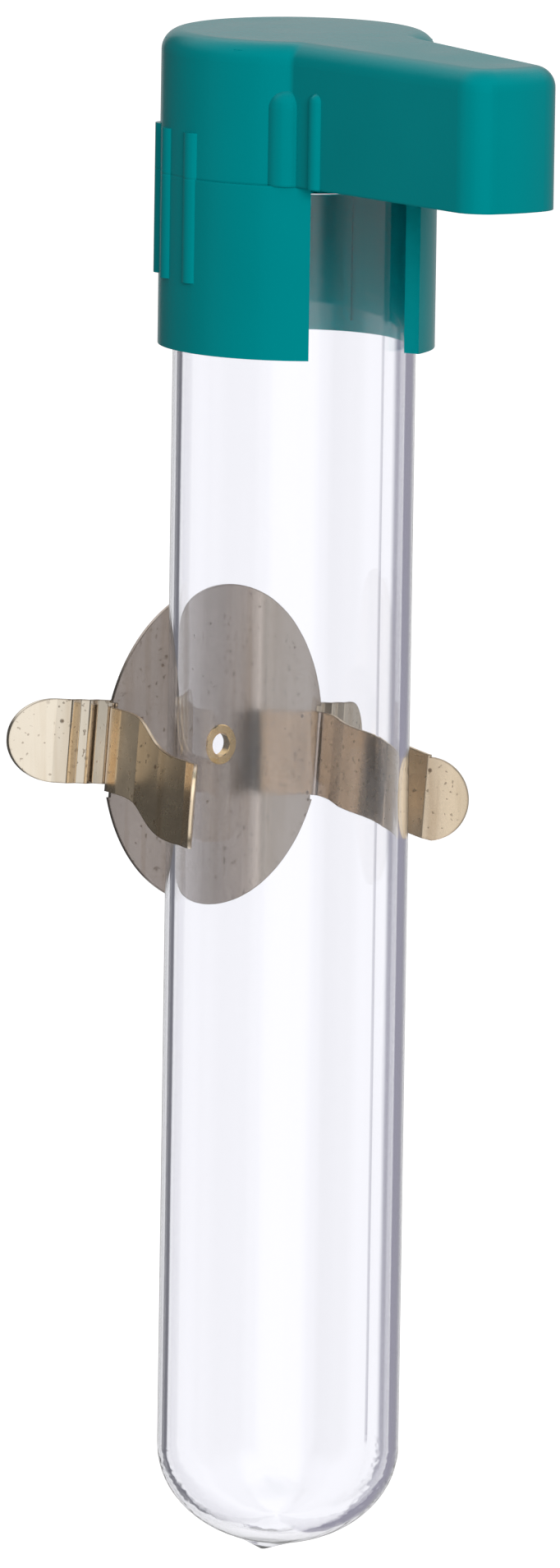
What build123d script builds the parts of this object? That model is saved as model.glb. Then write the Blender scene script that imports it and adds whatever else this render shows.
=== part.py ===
"""Tube drinker for a cage: clear tube, push-on drinking cup and spring clip.

Frame: origin at the rivet axis on the clip plate's wire side, +Y out through the
cage wires, +Z up with the closed end of the tube down. Units are millimetres.
"""
import os
from math import cos, radians, sin, tan

from build123d import *

os.makedirs("parts", exist_ok=True)

# Clip plate and its two arms
PLATE_T = 0.5
PLATE_HALF_WIDTH = 17.7
PLATE_HALF_HEIGHT = 21.1
CLIP_TWIST = 4.5
STRAP_HEIGHT = 11.0
FOLD_R = 1.0
FOLD_NOTCH = 0.7
ARM_FOLD = (17.3, -0.25)
ARM_SWELL = (17.6, -3.4)
ARM_KNEE = (16.95, -6.8)
ARM_GRIP_START = (16.85, -11.5)
ARM_GRIP_END = (17.0, -18.0)
ARM_THROAT = (18.7, -22.1)
ARM_TIP = (22.3, -26.7)
# Height of the strap's middle below the rivet, by distance in front of the plate
RIGHT_ARM_DROP = ((1, -1.2), (-4, -1.4), (-6.4, -1.8), (-10.5, -2.2), (-16.5, -2.8), (-22.1, -4.1), (-28, -4.4))
LEFT_ARM_DROP = ((1, -0.9), (-4, -0.9), (-6.4, -1.4), (-10.5, -4.3), (-16.5, -5.7), (-22.1, -5.6), (-28, -5.6))

# Hollow rivet
RIVET_R = 1.85
RIVET_BORE_R = 1.5
RIVET_FLANGE_R = 2.65
RIVET_FRONT_T = 0.2
RIVET_BACK_T = 0.35
RUNNING_GAP = 0.05

# Wire spring strip behind the plate
STRIP_T = 0.5
STRIP_GAP = 0.1
STRIP_WAVE_R = 0.5
STRIP_FLAT_X = 17.2
STRIP_WAVES = ((18.6, 0.6), (19.9, 0.15), (21.2, 0.75), (22.6, 0.45), (24.5, 1.35))
STRIP_TIP = (29.8, 4.3)

# Reservoir tube
TUBE_R = 15.8
TUBE_WALL = 1.2
TUBE_LENGTH = 179.4
TUBE_MOUTH_Z = 75.9
DOME_HEIGHT = 12.9
TUBE_TO_RIVET_GAP = 0.15
MOUTH_EASE_R = 0.3
NUB_BASE_R = 4.1
NUB_BASE_MIDDLE = (-0.9, 0.65)
NUB_SINK = 0.5
NUB_TIP_R = 0.4
NUB_TIP_MIDDLE = (-1.35, 1.0)
NUB_HEIGHT = 1.0

# Drinking cup
CUP_R = 17.8
CUP_BORE_R = 16.35
CUP_ROOF_T = 1.6
CUP_RIM_Z = 54.5
CUP_SPLIT_Z = 77.1
CUP_END_Z = 95.5
CUP_EDGE_R = 2.8
SKIRT_BULGE = 0.8
SLOT_HALF_ANGLE = 27.3
SPOUT_TURN = -3.0
SPOUT_REACH = 52.6
SPOUT_END_BOW = 1.4
SPOUT_HALF_WIDTH = 11.8
SPOUT_END_HALF_WIDTH = 6.9
SPOUT_CORNER_R = 4.5
SPOUT_ROOT_R = 1.0
SPOUT_WALL = 1.5

# Ribs on the cup
GRIP_RIB_ANGLES = (-124, -104, -84, 84, 104, 124)
GRIP_RIB_R = 1.6
GRIP_RIB_PROUD = 0.65
GRIP_RIB_ABOVE = 6.0
GRIP_RIB_BELOW = 13.5
POST_ANGLES = (-37.5, 37.5)
POST_R = 2.8
POST_PROUD = 1.2
POST_HEIGHT = 10.0
BEAD_REACH = 19.4
BEAD_R = 1.2
BEAD_PROUD = 0.8
BEAD_HEIGHT = 11.3
GUIDE_RIB_ANGLES = (60, 120, 180, 240, 300)
STOP_RIB_ANGLES = (120, 180, 240)
GUIDE_RIB_WIDTH = 1.2
GUIDE_RIB_R = 15.86
GUIDE_RIB_INSET = 1.5
STOP_R = 13.7
STOP_ABOVE_MOUTH = 4.05

TUBE_Y = -(PLATE_T + RIVET_FRONT_T + TUBE_TO_RIVET_GAP + TUBE_R)
TUBE_AXIS = Axis((0, TUBE_Y, 0), (0, 0, 1))
TUBE_BOTTOM_Z = TUBE_MOUTH_Z - TUBE_LENGTH
DOME_Z = TUBE_BOTTOM_Z + DOME_HEIGHT
DOME_CROWN_R = TUBE_R**2 / DOME_HEIGHT
ROOF_Z = CUP_END_Z - CUP_ROOF_T
ARM_MID_Y = -PLATE_T / 2
STRIP_MID_Y = STRIP_GAP + STRIP_T / 2
STRIP_BACK_Y = STRIP_GAP + STRIP_T
TAB_R = STRAP_HEIGHT / 2
TALL = 100.0


def cup_plane(z):
    """Horizontal plane centred on the tube axis; its -Y axis runs along the spout."""
    turned = Vector(1, 0, 0).rotate(Axis.Z, SPOUT_TURN)
    return Plane(origin=(0, TUBE_Y, z), x_dir=turned, z_dir=(0, 0, 1))


def around(radius, angles):
    """Points on a circle round the cup, each angle measured from the spout."""
    return [(radius * sin(radians(a)), -radius * cos(radians(a))) for a in angles]


# Reservoir: a straight tube with a slightly flattened round end
with BuildPart() as reservoir_tube:
    with BuildSketch(Plane.XZ.offset(-TUBE_Y)):
        with BuildLine():
            inner_r = TUBE_R - TUBE_WALL
            inner_height = DOME_HEIGHT - TUBE_WALL
            Line((0, TUBE_BOTTOM_Z), (0, DOME_Z - inner_height))
            EllipticalCenterArc((0, DOME_Z), inner_r, inner_height, start_angle=-90, arc_size=90)
            Line((inner_r, DOME_Z), (inner_r, TUBE_MOUTH_Z))
            Line((inner_r, TUBE_MOUTH_Z), (TUBE_R, TUBE_MOUTH_Z))
            Line((TUBE_R, TUBE_MOUTH_Z), (TUBE_R, DOME_Z))
            EllipticalCenterArc((0, DOME_Z), TUBE_R, DOME_HEIGHT, start_angle=-90, arc_size=90)
        make_face()
    revolve(axis=TUBE_AXIS)
    # Both lips of the open mouth are eased
    fillet(reservoir_tube.edges().group_by(Axis.Z)[-1], radius=MOUTH_EASE_R)
    # Gate nub left by moulding, a broad low cone a little off the centre of the dome
    nub_root = (NUB_BASE_MIDDLE[0], TUBE_Y + NUB_BASE_MIDDLE[1], TUBE_BOTTOM_Z + NUB_SINK)
    with BuildSketch(Plane(origin=nub_root, z_dir=(*NUB_BASE_MIDDLE, -DOME_CROWN_R))):
        Circle(NUB_BASE_R)
    with BuildSketch(Plane.XY.offset(TUBE_BOTTOM_Z - NUB_HEIGHT)):
        with Locations((NUB_TIP_MIDDLE[0], TUBE_Y + NUB_TIP_MIDDLE[1])):
            Circle(NUB_TIP_R)
    loft()

# The beads stand on the spout's tapering sides, just outside the cup's round wall
spout_taper = (SPOUT_HALF_WIDTH - SPOUT_END_HALF_WIDTH) / (SPOUT_REACH - SPOUT_END_BOW)
bead_side = SPOUT_HALF_WIDTH - spout_taper * BEAD_REACH + BEAD_PROUD - BEAD_R
bead_places = ((-bead_side, -BEAD_REACH), (bead_side, -BEAD_REACH))

# Cup: closed end with the open-sided spout, then the slotted skirt round the tube
with BuildPart() as drinker_cup:
    with BuildSketch(cup_plane(CUP_SPLIT_Z)) as end_outline:
        Circle(CUP_R)
        with BuildLine():
            spout_bow = ThreePointArc(
                (-SPOUT_END_HALF_WIDTH, -SPOUT_REACH + SPOUT_END_BOW),
                (0, -SPOUT_REACH),
                (SPOUT_END_HALF_WIDTH, -SPOUT_REACH + SPOUT_END_BOW),
            )
            Polyline(spout_bow @ 1, (SPOUT_HALF_WIDTH, 0), (-SPOUT_HALF_WIDTH, 0), spout_bow @ 0)
        make_face()
        fillet(end_outline.vertices().group_by(Axis.Y)[1], radius=SPOUT_ROOT_R)
        fillet(end_outline.vertices().group_by(Axis.Y)[0], radius=SPOUT_CORNER_R)
    extrude(amount=CUP_END_Z - CUP_SPLIT_Z)
    fillet(drinker_cup.faces().sort_by(Axis.Z)[-1].edges(), radius=CUP_EDGE_R)
    # Skirt, slightly fuller on the spout side
    with BuildSketch(cup_plane(CUP_RIM_Z)):
        Circle(CUP_R)
        with Locations((0, -SKIRT_BULGE)):
            Circle(CUP_R)
    extrude(amount=CUP_SPLIT_Z - CUP_RIM_Z)
    # Grip ribs that cross the mould split line
    with BuildSketch(cup_plane(CUP_SPLIT_Z - GRIP_RIB_BELOW)):
        with Locations(*around(CUP_R + GRIP_RIB_PROUD - GRIP_RIB_R, GRIP_RIB_ANGLES)):
            Circle(GRIP_RIB_R)
    extrude(amount=GRIP_RIB_BELOW + GRIP_RIB_ABOVE)
    # Round-topped posts and beads either side of the spout
    with Locations(cup_plane(CUP_SPLIT_Z)):
        with Locations(*around(CUP_R + POST_PROUD - POST_R, POST_ANGLES)):
            Cylinder(POST_R, POST_HEIGHT, align=(Align.CENTER, Align.CENTER, Align.MIN))
        with Locations(*bead_places):
            Cylinder(BEAD_R, BEAD_HEIGHT, align=(Align.CENTER, Align.CENTER, Align.MIN))
    with Locations(cup_plane(CUP_SPLIT_Z + POST_HEIGHT)):
        with Locations(*around(CUP_R + POST_PROUD - POST_R, POST_ANGLES)):
            Sphere(POST_R)
    with Locations(cup_plane(CUP_SPLIT_Z + BEAD_HEIGHT)):
        with Locations(*bead_places):
            Sphere(BEAD_R)
    # Bore for the tube, chamber above it and the drinking trough, all one hollow
    with BuildSketch(cup_plane(CUP_RIM_Z)):
        Circle(CUP_BORE_R)
    extrude(amount=ROOF_Z - CUP_RIM_Z, mode=Mode.SUBTRACT)
    with BuildSketch(cup_plane(CUP_SPLIT_Z)) as trough_outline:
        with BuildLine():
            trough_bow = ThreePointArc(
                (-SPOUT_END_HALF_WIDTH + SPOUT_WALL, -SPOUT_REACH + SPOUT_END_BOW + SPOUT_WALL),
                (0, -SPOUT_REACH + SPOUT_WALL),
                (SPOUT_END_HALF_WIDTH - SPOUT_WALL, -SPOUT_REACH + SPOUT_END_BOW + SPOUT_WALL),
            )
            Polyline(
                trough_bow @ 1,
                (SPOUT_HALF_WIDTH - SPOUT_WALL, 0),
                (-SPOUT_HALF_WIDTH + SPOUT_WALL, 0),
                trough_bow @ 0,
            )
        make_face()
        fillet(trough_outline.vertices().group_by(Axis.Y)[0], radius=SPOUT_CORNER_R - SPOUT_WALL)
    extrude(amount=ROOF_Z - CUP_SPLIT_Z, mode=Mode.SUBTRACT)
    # Slot up the skirt below the spout, its cut faces radial to the tube
    with BuildSketch(cup_plane(CUP_RIM_Z)):
        slot_reach = 2 * CUP_R
        slot_half = slot_reach * tan(radians(SLOT_HALF_ANGLE))
        Polygon((0, 0), (-slot_half, -slot_reach), (slot_half, -slot_reach), align=None)
    extrude(amount=CUP_SPLIT_Z - CUP_RIM_Z, mode=Mode.SUBTRACT)
    # Inner ribs that centre the tube, and the stops its mouth is pushed home against
    with BuildSketch(cup_plane(CUP_RIM_Z + GUIDE_RIB_INSET)):
        with PolarLocations(0, 1, start_angle=-90):
            for angle in GUIDE_RIB_ANGLES:
                with Locations(Location((0, 0, 0), (0, 0, angle))):
                    with Locations(((GUIDE_RIB_R + CUP_R - 0.5) / 2, 0)):
                        Rectangle(CUP_R - 0.5 - GUIDE_RIB_R, GUIDE_RIB_WIDTH)
    extrude(amount=ROOF_Z - CUP_RIM_Z - GUIDE_RIB_INSET + 0.5)
    with BuildSketch(cup_plane(TUBE_MOUTH_Z + STOP_ABOVE_MOUTH)):
        with PolarLocations(0, 1, start_angle=-90):
            for angle in STOP_RIB_ANGLES:
                with Locations(Location((0, 0, 0), (0, 0, angle))):
                    with Locations(((STOP_R + CUP_R - 0.5) / 2, 0)):
                        Rectangle(CUP_R - 0.5 - STOP_R, GUIDE_RIB_WIDTH)
    extrude(amount=ROOF_Z - TUBE_MOUTH_Z - STOP_ABOVE_MOUTH + 0.5)

# Each arm is a ribbon seen from above, then trimmed to its falling side view and round tab
def arm(side, drop):
    """One arm of the clip, side 1 for +X and -1 for -X."""
    with BuildPart() as ribbon:
        with BuildSketch(Plane.XY.offset(-TALL / 2)):
            with BuildLine():
                path = (
                    (ARM_FOLD[0] - 3 * FOLD_R, ARM_FOLD[1]),
                    ARM_FOLD,
                    ARM_SWELL,
                    ARM_KNEE,
                    ARM_GRIP_START,
                    ARM_GRIP_END,
                    ARM_THROAT,
                    ARM_TIP,
                )
                FilletPolyline(*[(side * x, y) for x, y in path], radius=FOLD_R)
                offset(amount=PLATE_T / 2, side=Side.BOTH, mode=Mode.REPLACE)
            make_face()
        extrude(amount=TALL)
        with BuildSketch(Plane.YZ.offset(-TALL / 2)):
            with BuildLine():
                top = Spline(*[(y, z + TAB_R) for y, z in drop])
                bottom = Spline(*[(y, z - TAB_R) for y, z in drop])
                Line(top @ 0, bottom @ 0)
                Line(top @ 1, bottom @ 1)
            make_face()
        extrude(amount=TALL, mode=Mode.INTERSECT)
        along_tab = Vector(side * (ARM_TIP[0] - ARM_THROAT[0]), ARM_TIP[1] - ARM_THROAT[1], 0)
        across_tab = along_tab.rotate(Axis.Z, -90)
        tab_end = (side * ARM_TIP[0], ARM_TIP[1], drop[-1][1])
        with BuildSketch(Plane(origin=tab_end, x_dir=along_tab, z_dir=across_tab)):
            with Locations((-TAB_R, 0)):
                Circle(TAB_R)
                Rectangle(TALL, TALL, align=(Align.MAX, Align.CENTER))
        extrude(amount=TALL, both=True, mode=Mode.INTERSECT)
    return ribbon.part


# Clip plate: the disc joins the two arms and is pierced for the rivet
with BuildPart() as clip_plate:
    with BuildSketch(Plane.XZ):
        Ellipse(PLATE_HALF_WIDTH, PLATE_HALF_HEIGHT)
        # The edge is cut back where each arm folds away, leaving a small relief above and below
        fold_middle = (ARM_FOLD[0] + FOLD_R, -FOLD_R)
        with Locations(fold_middle, (-fold_middle[0], fold_middle[1])):
            Rectangle(4 * FOLD_R, STRAP_HEIGHT + 2 * FOLD_NOTCH, mode=Mode.SUBTRACT)
    extrude(amount=PLATE_T)
    add(arm(1, RIGHT_ARM_DROP))
    add(arm(-1, LEFT_ARM_DROP))
    with BuildSketch(Plane.XZ):
        Circle(RIVET_R)
    extrude(amount=PLATE_T, mode=Mode.SUBTRACT)

# Bowed spring strip: lies flat behind the plate, waves, then bends out to round tips
with BuildPart() as wing_strip:
    with BuildSketch(Plane.XY.offset(-TALL / 2)):
        with BuildLine():
            FilletPolyline(
                (0, STRIP_MID_Y),
                (STRIP_FLAT_X, STRIP_MID_Y),
                *[(x, STRIP_MID_Y + rise) for x, rise in STRIP_WAVES],
                (STRIP_TIP[0], STRIP_MID_Y + STRIP_TIP[1]),
                radius=STRIP_WAVE_R,
            )
            offset(amount=STRIP_T / 2, side=Side.BOTH, mode=Mode.REPLACE)
        make_face()
    extrude(amount=TALL)
    with BuildSketch(Plane.XZ):
        with Locations((STRIP_TIP[0] - TAB_R, 0)):
            Circle(TAB_R)
            Rectangle(STRIP_TIP[0] + TAB_R, STRAP_HEIGHT, align=(Align.MAX, Align.CENTER))
    extrude(amount=TALL, both=True, mode=Mode.INTERSECT)
    mirror(about=Plane.YZ)
    with BuildSketch(Plane.XZ):
        Circle(RIVET_R + RUNNING_GAP)
    extrude(amount=TALL, both=True, mode=Mode.SUBTRACT)

# Hollow rivet with a flange at each end
with BuildPart() as clip_rivet:
    with BuildSketch(Plane.YZ):
        with BuildLine():
            Polyline(
                (-PLATE_T - RIVET_FRONT_T, RIVET_BORE_R + 0.1),
                (-PLATE_T - RIVET_FRONT_T, RIVET_FLANGE_R - 0.1),
                (-PLATE_T - 0.1, RIVET_FLANGE_R),
                (-PLATE_T, RIVET_FLANGE_R),
                (-PLATE_T, RIVET_R),
                (STRIP_BACK_Y + RUNNING_GAP, RIVET_R),
                (STRIP_BACK_Y + RUNNING_GAP, RIVET_FLANGE_R),
                (STRIP_BACK_Y + RUNNING_GAP + RIVET_BACK_T, RIVET_FLANGE_R - 0.3),
                (STRIP_BACK_Y + RUNNING_GAP + RIVET_BACK_T, RIVET_BORE_R),
                (-PLATE_T - RIVET_FRONT_T + 0.1, RIVET_BORE_R),
                close=True,
            )
        make_face()
    revolve(axis=Axis.Y)

# The clip sits slightly twisted about the rivet axis, its +X side lower
twisted_plate = clip_plate.part.rotate(Axis.Y, CLIP_TWIST)
twisted_strip = wing_strip.part.rotate(Axis.Y, CLIP_TWIST)

reservoir_tube.part.label = "reservoir_tube"
drinker_cup.part.label = "drinker_cup"
twisted_plate.label = "clip_plate"
twisted_strip.label = "wing_strip"
clip_rivet.part.label = "clip_rivet"

export_step(reservoir_tube.part, "parts/reservoir_tube.step")
export_step(drinker_cup.part, "parts/drinker_cup.step")
export_step(twisted_plate, "parts/clip_plate.step")
export_step(twisted_strip, "parts/wing_strip.step")
export_step(clip_rivet.part, "parts/clip_rivet.step")
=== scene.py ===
import math

import bpy
from mathutils import Matrix, Vector

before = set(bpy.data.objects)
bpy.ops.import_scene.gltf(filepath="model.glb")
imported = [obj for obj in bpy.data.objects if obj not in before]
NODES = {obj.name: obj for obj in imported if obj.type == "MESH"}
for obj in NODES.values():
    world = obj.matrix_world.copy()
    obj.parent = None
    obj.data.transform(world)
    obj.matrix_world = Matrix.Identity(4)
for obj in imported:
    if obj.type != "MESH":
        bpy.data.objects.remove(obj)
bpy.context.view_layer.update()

MM = 0.001

# Places in the row frame, in metres
TUBE_Y = -16.65 * MM
TUBE_BESIDE_RIVET = Vector((0.0, TUBE_Y, 0.0))
SPLIT_Z = 77.1 * MM


# ------------------------------------------------------------------ node helpers
# A Mix node's sockets when it mixes colours
MIX_FACTOR = 0
MIX_A = 6
MIX_B = 7
MIX_RESULT = 2


class Nodes:
    """Short calls for the nodes that a material or the world is built from."""

    def __init__(self, node_tree):
        self.nodes = node_tree.nodes
        self.links = node_tree.links

    def put(self, socket, value):
        """A link, or a fixed number or colour, into one socket."""
        if isinstance(value, bpy.types.NodeSocket):
            self.links.new(value, socket)
        elif value is not None:
            socket.default_value = value

    def scale_range(self, value, low, high, to_low, to_high, interpolation="LINEAR"):
        node = self.nodes.new("ShaderNodeMapRange")
        node.interpolation_type = interpolation
        for socket, number in zip(node.inputs, (value, low, high, to_low, to_high)):
            self.put(socket, number)
        return node.outputs["Result"]

    def math(self, kind, a, b=None):
        node = self.nodes.new("ShaderNodeMath")
        node.operation = kind
        self.put(node.inputs[0], a)
        self.put(node.inputs[1], b)
        return node.outputs[0]

    def mix(self, fac, a, b, blend="MIX"):
        node = self.nodes.new("ShaderNodeMix")
        node.data_type = "RGBA"
        node.blend_type = blend
        self.put(node.inputs[MIX_FACTOR], fac)
        for socket, value in ((node.inputs[MIX_A], a), (node.inputs[MIX_B], b)):
            if isinstance(value, tuple) and len(value) == 3:
                value = (*value, 1.0)
            self.put(socket, value)
        return node.outputs[MIX_RESULT]


class Tree(Nodes):
    """A new material and its nodes."""

    def __init__(self, name):
        self.mat = bpy.data.materials.new(name)
        self.mat.use_nodes = True
        super().__init__(self.mat.node_tree)
        self.bsdf = self.nodes["Principled BSDF"]
        self.coords = self.nodes.new("ShaderNodeTexCoord").outputs["Object"]

    def set(self, **values):
        for key, value in values.items():
            self.bsdf.inputs[key.replace("_", " ")].default_value = value

    def plug(self, source, socket):
        self.links.new(source, self.bsdf.inputs[socket])

    def noise(self, scale, detail=3.0, roughness=0.5, vector=None):
        node = self.nodes.new("ShaderNodeTexNoise")
        self.links.new(vector or self.coords, node.inputs["Vector"])
        node.inputs["Scale"].default_value = scale
        node.inputs["Detail"].default_value = detail
        node.inputs["Roughness"].default_value = roughness
        return node.outputs["Fac"]

    def voronoi(self, scale):
        node = self.nodes.new("ShaderNodeTexVoronoi")
        self.links.new(self.coords, node.inputs["Vector"])
        node.inputs["Scale"].default_value = scale
        return node.outputs["Distance"]

    def stretch(self, factors):
        """Coordinates scaled along each axis, which draws a texture out along the smaller factors."""
        node = self.nodes.new("ShaderNodeMapping")
        self.links.new(self.coords, node.inputs["Vector"])
        node.inputs["Scale"].default_value = factors
        return node.outputs["Vector"]

    def ramp(self, fac, stops):
        node = self.nodes.new("ShaderNodeValToRGB")
        self.links.new(fac, node.inputs["Fac"])
        ends = node.color_ramp.elements
        while len(ends) < len(stops):
            ends.new(0.5)
        for end, (place, colour) in zip(ends, stops):
            end.position = place
            end.color = (*colour, 1.0)
        return node.outputs["Color"]

    def split(self):
        node = self.nodes.new("ShaderNodeSeparateXYZ")
        self.links.new(self.coords, node.inputs[0])
        return node.outputs

    def bump(self, height, distance, strength):
        node = self.nodes.new("ShaderNodeBump")
        node.inputs["Strength"].default_value = strength
        node.inputs["Distance"].default_value = distance
        self.links.new(height, node.inputs["Height"])
        return node.outputs["Normal"]

    def edges(self, reach):
        """1 on sharp edges, falling to 0 about reach away from them."""
        rounded = self.nodes.new("ShaderNodeBevel")
        rounded.samples = 6
        rounded.inputs["Radius"].default_value = reach
        true_normal = self.nodes.new("ShaderNodeNewGeometry").outputs["Normal"]
        node = self.nodes.new("ShaderNodeVectorMath")
        node.operation = "DOT_PRODUCT"
        self.links.new(rounded.outputs["Normal"], node.inputs[0])
        self.links.new(true_normal, node.inputs[1])
        return self.scale_range(node.outputs["Value"], 0.985, 0.86, 0.0, 1.0)


def line_at(tree, value, place, half_width):
    """1 on a thin line where value equals place, falling to 0 half_width away."""
    gap = tree.math("ABSOLUTE", tree.math("SUBTRACT", value, place))
    return tree.scale_range(gap, 0.0, half_width, 1.0, 0.0)


# ------------------------------------------------------------------ materials
def clear_plastic():
    t = Tree("clear_polystyrene")
    t.set(Base_Color=(0.985, 0.985, 1.0, 1.0), Transmission_Weight=1.0, IOR=1.52)
    flow = t.noise(9.0, 2.0, vector=t.stretch((26.0, 26.0, 2.0)))
    scuff = t.noise(420.0, 5.0, 0.65, vector=t.stretch((1.0, 1.0, 0.35)))
    haze = t.scale_range(scuff, 0.55, 0.85, 0.015, 0.09)
    t.plug(haze, "Roughness")
    t.plug(t.bump(flow, 0.00003, 0.18), "Normal")
    return t.mat


def green_plastic():
    t = Tree("teal_moulded_plastic")
    t.set(IOR=1.49, Specular_IOR_Level=0.3, Specular_Tint=(0.0, 0.85, 1.0, 1.0))
    broad = t.noise(45.0, 3.0)
    fine = t.noise(1500.0, 3.0, 0.6)
    base = t.mix(broad, (0.0, 0.285, 0.308), (0.0, 0.335, 0.358))
    specks = t.voronoi(210.0)
    speck_mask = t.scale_range(specks, 0.03, 0.05, 1.0, 0.0)
    rare = t.scale_range(t.noise(70.0, 1.0), 0.62, 0.66, 0.0, 1.0)
    speck_mask = t.math("MULTIPLY", speck_mask, rare)
    base = t.mix(speck_mask, base, (0.01, 0.03, 0.03))
    t.plug(base, "Base Color")
    t.plug(t.scale_range(broad, 0.3, 0.7, 0.17, 0.27), "Roughness")
    height = t.split()[2]
    seam = line_at(t, height, SPLIT_Z, 0.00022)
    relief = t.math("ADD", t.math("MULTIPLY", fine, 0.25), t.math("MULTIPLY", seam, -1.0))
    t.plug(t.bump(relief, 0.00012, 0.6), "Normal")
    return t.mat


# The painted highlight band and painted shade on the flat plate run across this far each side of the rivet
PAINTED_HIGHLIGHT_REACH = 18.0 * MM
# The arm's tone comes in over a short way, just in front of the flat plate
ARM_TONE_FROM_Y = -0.9 * MM
ARM_TONE_FADE = 0.8 * MM


def plated_steel(name, flat_tone, arm_tone, roughness):
    """Worn plating in flat_tone, and in arm_tone on whatever stands forward of the flat plate."""
    t = Tree(name)
    t.set(Metallic=1.0)
    x, y = t.split()[:2]
    drawn = t.noise(160.0, 4.0, 0.6, vector=t.stretch((0.5, 0.5, 9.0)))
    cloud = t.noise(140.0, 4.0, 0.6)
    streak = t.noise(330.0, 3.0, 0.6, vector=t.stretch((1.0, 1.0, 0.06)))
    # Painted highlight and shade: the flat plate is painted brighter in a soft upright band to one side of
    # the rivet, standing in for a reflection, and painted a little darker at the rivet
    painted_highlight_band = t.ramp(
        t.scale_range(x, -PAINTED_HIGHLIGHT_REACH, PAINTED_HIGHLIGHT_REACH, 0.0, 1.0),
        (
            (0.0, (0.98, 0.98, 0.98)),
            (0.5, (0.92, 0.92, 0.92)),
            (0.62, (1.1, 1.08, 1.04)),
            (0.7, (1.25, 1.22, 1.14)),
            (0.76, (1.0, 0.97, 0.92)),
            (1.0, (1.0, 0.99, 0.98)),
        ),
    )
    golden = t.scale_range(y, ARM_TONE_FROM_Y, ARM_TONE_FROM_Y - ARM_TONE_FADE, 0.0, 1.0)
    # Only the flat plate's tone carries the painted highlight band; the arms do not
    warm = t.mix(golden, t.mix(1.0, flat_tone, painted_highlight_band, blend="MULTIPLY"), arm_tone)
    tone = t.mix(cloud, t.mix(1.0, warm, (0.84, 0.83, 0.82), blend="MULTIPLY"), warm)
    tarnish = t.scale_range(streak, 0.5, 0.72, 0.0, 0.5)
    tone = t.mix(tarnish, tone, t.mix(1.0, tone, (0.7, 0.6, 0.48), blend="MULTIPLY"))
    pits = t.voronoi(620.0)
    pit_mask = t.scale_range(pits, 0.1, 0.22, 1.0, 0.0)
    zone = t.scale_range(t.noise(230.0, 2.0), 0.5, 0.64, 0.0, 0.8)
    pit_mask = t.math("MULTIPLY", pit_mask, zone)
    speckle = t.scale_range(t.noise(1500.0, 1.0), 0.67, 0.73, 0.0, 0.45)
    pit_mask = t.math("MAXIMUM", pit_mask, speckle)
    tone = t.mix(pit_mask, tone, (0.17, 0.11, 0.07))
    edge_wear = t.scale_range(cloud, 0.35, 0.6, 0.35, 0.9)
    worn_edge = t.math("MULTIPLY", t.edges(0.35 * MM), edge_wear)
    tone = t.mix(worn_edge, tone, (0.13, 0.09, 0.06))
    t.plug(tone, "Base Color")
    spread = t.scale_range(cloud, 0.3, 0.7, 0.8, 1.35)
    rough = t.math("MULTIPLY", spread, t.scale_range(golden, 0.0, 1.0, roughness, 1.7 * roughness))
    blemish = t.math("MAXIMUM", pit_mask, worn_edge)
    t.plug(t.math("ADD", rough, t.math("MULTIPLY", blemish, 0.25)), "Roughness")
    relief = t.math("SUBTRACT", t.math("MULTIPLY", drawn, 0.4), t.math("MULTIPLY", pit_mask, 0.6))
    t.plug(t.bump(relief, 0.00004, 0.5), "Normal")
    return t.mat


def brass():
    t = Tree("eyelet_brass")
    t.set(Metallic=1.0)
    cloud = t.noise(900.0, 3.0)
    t.plug(t.mix(cloud, (0.72, 0.46, 0.17), (0.95, 0.7, 0.34)), "Base Color")
    t.plug(t.scale_range(cloud, 0.3, 0.7, 0.16, 0.32), "Roughness")
    t.plug(t.bump(cloud, 0.00003, 0.4), "Normal")
    return t.mat


def give(node_name, material):
    """Puts the material on every slot of a CAD node."""
    slots = NODES[node_name].material_slots
    if not slots:
        NODES[node_name].data.materials.append(material)
    for slot in slots:
        slot.material = material


give("reservoir_tube", clear_plastic())
give("drinker_cup", green_plastic())
NICKEL = (0.62, 0.55, 0.5, 1.0)
GOLD = (0.88, 0.73, 0.54, 1.0)
PALE_GOLD = (0.95, 0.86, 0.72, 1.0)
give("clip_plate", plated_steel("plated_steel_disc", NICKEL, GOLD, 0.13))
give("wing_strip", plated_steel("plated_steel_strip", PALE_GOLD, PALE_GOLD, 0.12))
give("clip_rivet", brass())

# ------------------------------------------------------------------ view direction
VIEW_AZ = math.radians(-126.0)
VIEW_EL = math.radians(8.4)
VIEW_DISTANCE = 2.5
# The camera is rolled so that the drinker leans as it does in the photograph
LEAN = math.radians(0.864)
LENS = 440.8
# It looks at the tube's axis at this height, and this far to the image's left of it
LOOK_AT_Z = -3.3 * MM
LOOK_LEFT = 1.0 * MM
to_camera = Vector((
    math.cos(VIEW_AZ) * math.cos(VIEW_EL),
    math.sin(VIEW_AZ) * math.cos(VIEW_EL),
    math.sin(VIEW_EL),
))
image_right = Vector((-math.sin(VIEW_AZ), math.cos(VIEW_AZ), 0.0))
level = Vector((math.cos(VIEW_AZ), math.sin(VIEW_AZ), 0.0))

# ------------------------------------------------------------------ floor and light
FLOOR_Z = -0.20
FLOOR_RADIUS = 12.0


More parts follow.
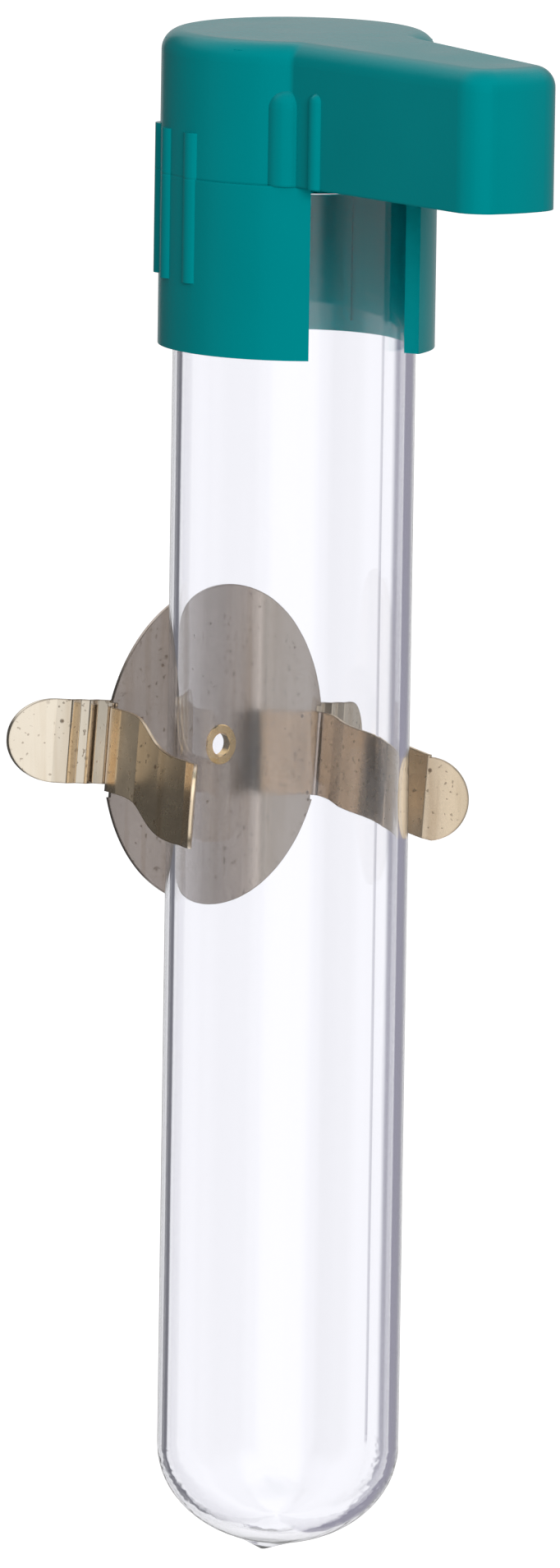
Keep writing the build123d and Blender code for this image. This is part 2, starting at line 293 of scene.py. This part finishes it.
def floor():
    mesh = bpy.data.meshes.new("floor")
    turns = [math.radians(degrees) for degrees in range(0, 360, 4)]
    rim = [(FLOOR_RADIUS * math.cos(turn), FLOOR_RADIUS * math.sin(turn), 0) for turn in turns]
    mesh.from_pydata(rim, [], [tuple(range(len(rim)))])
    obj = bpy.data.objects.new("floor", mesh)
    obj.location.z = FLOOR_Z
    bpy.context.scene.collection.objects.link(obj)
    mat = bpy.data.materials.new("pale_floor")
    mat.use_nodes = True
    shader = mat.node_tree.nodes["Principled BSDF"].inputs
    shader["Base Color"].default_value = (0.85, 0.85, 0.85, 1)
    shader["Roughness"].default_value = 0.8
    shader["Emission Color"].default_value = (1, 1, 1, 1)
    shader["Emission Strength"].default_value = 0.75
    mesh.materials.append(mat)
    # The drinker is lit by and shows the studio's panels, not the floor
    obj.visible_transmission = False
    obj.visible_glossy = False
    obj.visible_diffuse = False


floor()


def area_light(name, place, size, power):
    """A square lamp aimed at the tube's axis, level with the rivet."""
    light = bpy.data.lights.new(name, "AREA")
    light.energy = power
    light.shape = "RECTANGLE"
    light.size = size
    light.size_y = size
    obj = bpy.data.objects.new(name, light)
    obj.location = place
    obj.rotation_euler = (TUBE_BESIDE_RIVET - place).to_track_quat("-Z", "Y").to_euler()
    bpy.context.scene.collection.objects.link(obj)
    return obj


def studio_world():
    """White backdrop in a dark studio, with its own level for each kind of ray that reaches it."""
    world = bpy.data.worlds.new("studio")
    world.use_nodes = True
    w = Nodes(world.node_tree)
    direction = w.nodes.new("ShaderNodeSeparateXYZ")
    w.put(direction.inputs[0], w.nodes.new("ShaderNodeTexCoord").outputs["Generated"])
    x, y, z = direction.outputs
    flat = w.math("SQRT", w.math("ADD", w.math("MULTIPLY", x, x), w.math("MULTIPLY", y, y)))

    def toward(azimuth, inner, outer):
        """1 within inner degrees of that azimuth, 0 beyond outer."""
        angle = math.radians(azimuth)
        along_x = w.math("MULTIPLY", x, math.cos(angle))
        along_y = w.math("MULTIPLY", y, math.sin(angle))
        cosine = w.math("DIVIDE", w.math("ADD", along_x, along_y), flat)
        low, high = math.cos(math.radians(outer)), math.cos(math.radians(inner))
        return w.scale_range(cosine, low, high, 0.0, 1.0, "SMOOTHSTEP")

    def panels(ground, rows, top):
        colour = ground
        for azimuth, inner, outer, shade in rows:
            colour = w.mix(toward(azimuth, inner, outer), colour, shade)
        overhead = w.scale_range(z, OVERHEAD_FROM, OVERHEAD_FULL, 0.0, 1.0, "SMOOTHSTEP")
        return w.mix(overhead, colour, top)

    path = w.nodes.new("ShaderNodeLightPath").outputs
    colour = panels(*SCATTERED)
    colour = w.mix(path["Is Glossy Ray"], colour, panels(*MIRRORED))
    mirrored_first = w.math("GREATER_THAN", path["Glossy Depth"], 0.5)
    clear = w.mix(mirrored_first, panels(*REFRACTED), panels(*REFLECTED_THEN_REFRACTED))
    colour = w.mix(path["Is Transmission Ray"], colour, clear)
    scattered_first = w.math("GREATER_THAN", path["Diffuse Depth"], 0.5)
    behind_wall = w.math("MULTIPLY", path["Is Transmission Ray"], scattered_first)
    colour = w.mix(behind_wall, colour, THROUGH_WALL)
    colour = w.mix(path["Is Camera Ray"], colour, (1.0, 1.0, 1.0))
    background = w.nodes["Background"].inputs
    w.put(background["Color"], colour)
    background["Strength"].default_value = 1.0
    # Each kind of ray reads its own panels only if the world is not also sampled as a lamp
    world.cycles.sampling_method = "NONE"
    bpy.context.scene.world = world


def grey(level):
    return (level, level, level)


# Each is a level near the ground, upright panels, and a level overhead.
# A panel is its azimuth, the degrees of full level each side, the degrees where it has faded, and its level.
SCATTERED = (grey(0.24), (), grey(0.42))
MIRRORED = (
    grey(0.1),
    (
        (20.0, 40.0, 60.0, grey(0.4)),
        (180.0, 20.0, 34.0, grey(0.45)),
        (54.0, 14.0, 24.0, grey(0.52)),
        (108.0, 28.0, 34.0, grey(0.09)),
        (-54.0, 14.0, 26.0, grey(0.5)),
        (-130.0, 22.0, 34.0, grey(1.0)),
    ),
    grey(1.5),
)
BACKDROP = (1.02, 1.02, 1.05)
TUBE_SIDE_LINES = (
    (86.0, 6.0, 9.0, (0.2, 0.2, 0.23)),
    (28.5, 14.0, 17.0, (0.3, 0.29, 0.37)),
)
REFRACTED = (BACKDROP, TUBE_SIDE_LINES, BACKDROP)
REFLECTED_THEN_REFRACTED = (
    grey(0.2),
    (
        (54.0, 90.0, 115.0, BACKDROP),
        *TUBE_SIDE_LINES,
        (-54.0, 24.0, 36.0, grey(0.55)),
        (-134.0, 24.0, 36.0, grey(1.0)),
    ),
    BACKDROP,
)
# The key reaches what stands behind the clear wall as this even level
THROUGH_WALL = grey(2.6)
# Heights of a ray's unit direction between which the overhead level comes in
OVERHEAD_FROM = 0.3
OVERHEAD_FULL = 0.8
studio_world()
bpy.context.scene.view_settings.view_transform = "Standard"


def beside(right, towards, up):
    """A place given by metres to the image's right, towards the camera and up."""
    return TUBE_BESIDE_RIVET + image_right * right + level * towards + Vector((0, 0, up))


key = area_light("key", beside(right=0.28, towards=1.58, up=0.45), size=0.7, power=14.0)
# Its hard square outline is kept out of the clear dome and the bright metal
key.visible_glossy = False
key.visible_transmission = False

# ------------------------------------------------------------------ camera
camera_data = bpy.data.cameras.new("camera")
camera_data.lens = LENS
camera_data.sensor_width = 36.0
camera_data.clip_start = 0.05
camera_data.clip_end = 60.0
camera = bpy.data.objects.new("camera", camera_data)
bpy.context.scene.collection.objects.link(camera)
bpy.context.scene.camera = camera
look_at = Vector((0.0, TUBE_Y, LOOK_AT_Z)) - image_right * LOOK_LEFT
camera.location = look_at + to_camera * VIEW_DISTANCE
camera.rotation_mode = "QUATERNION"
facing = (-to_camera).to_track_quat("-Z", "Y")
camera.rotation_quaternion = facing @ Matrix.Rotation(LEAN, 4, "Z").to_quaternion()
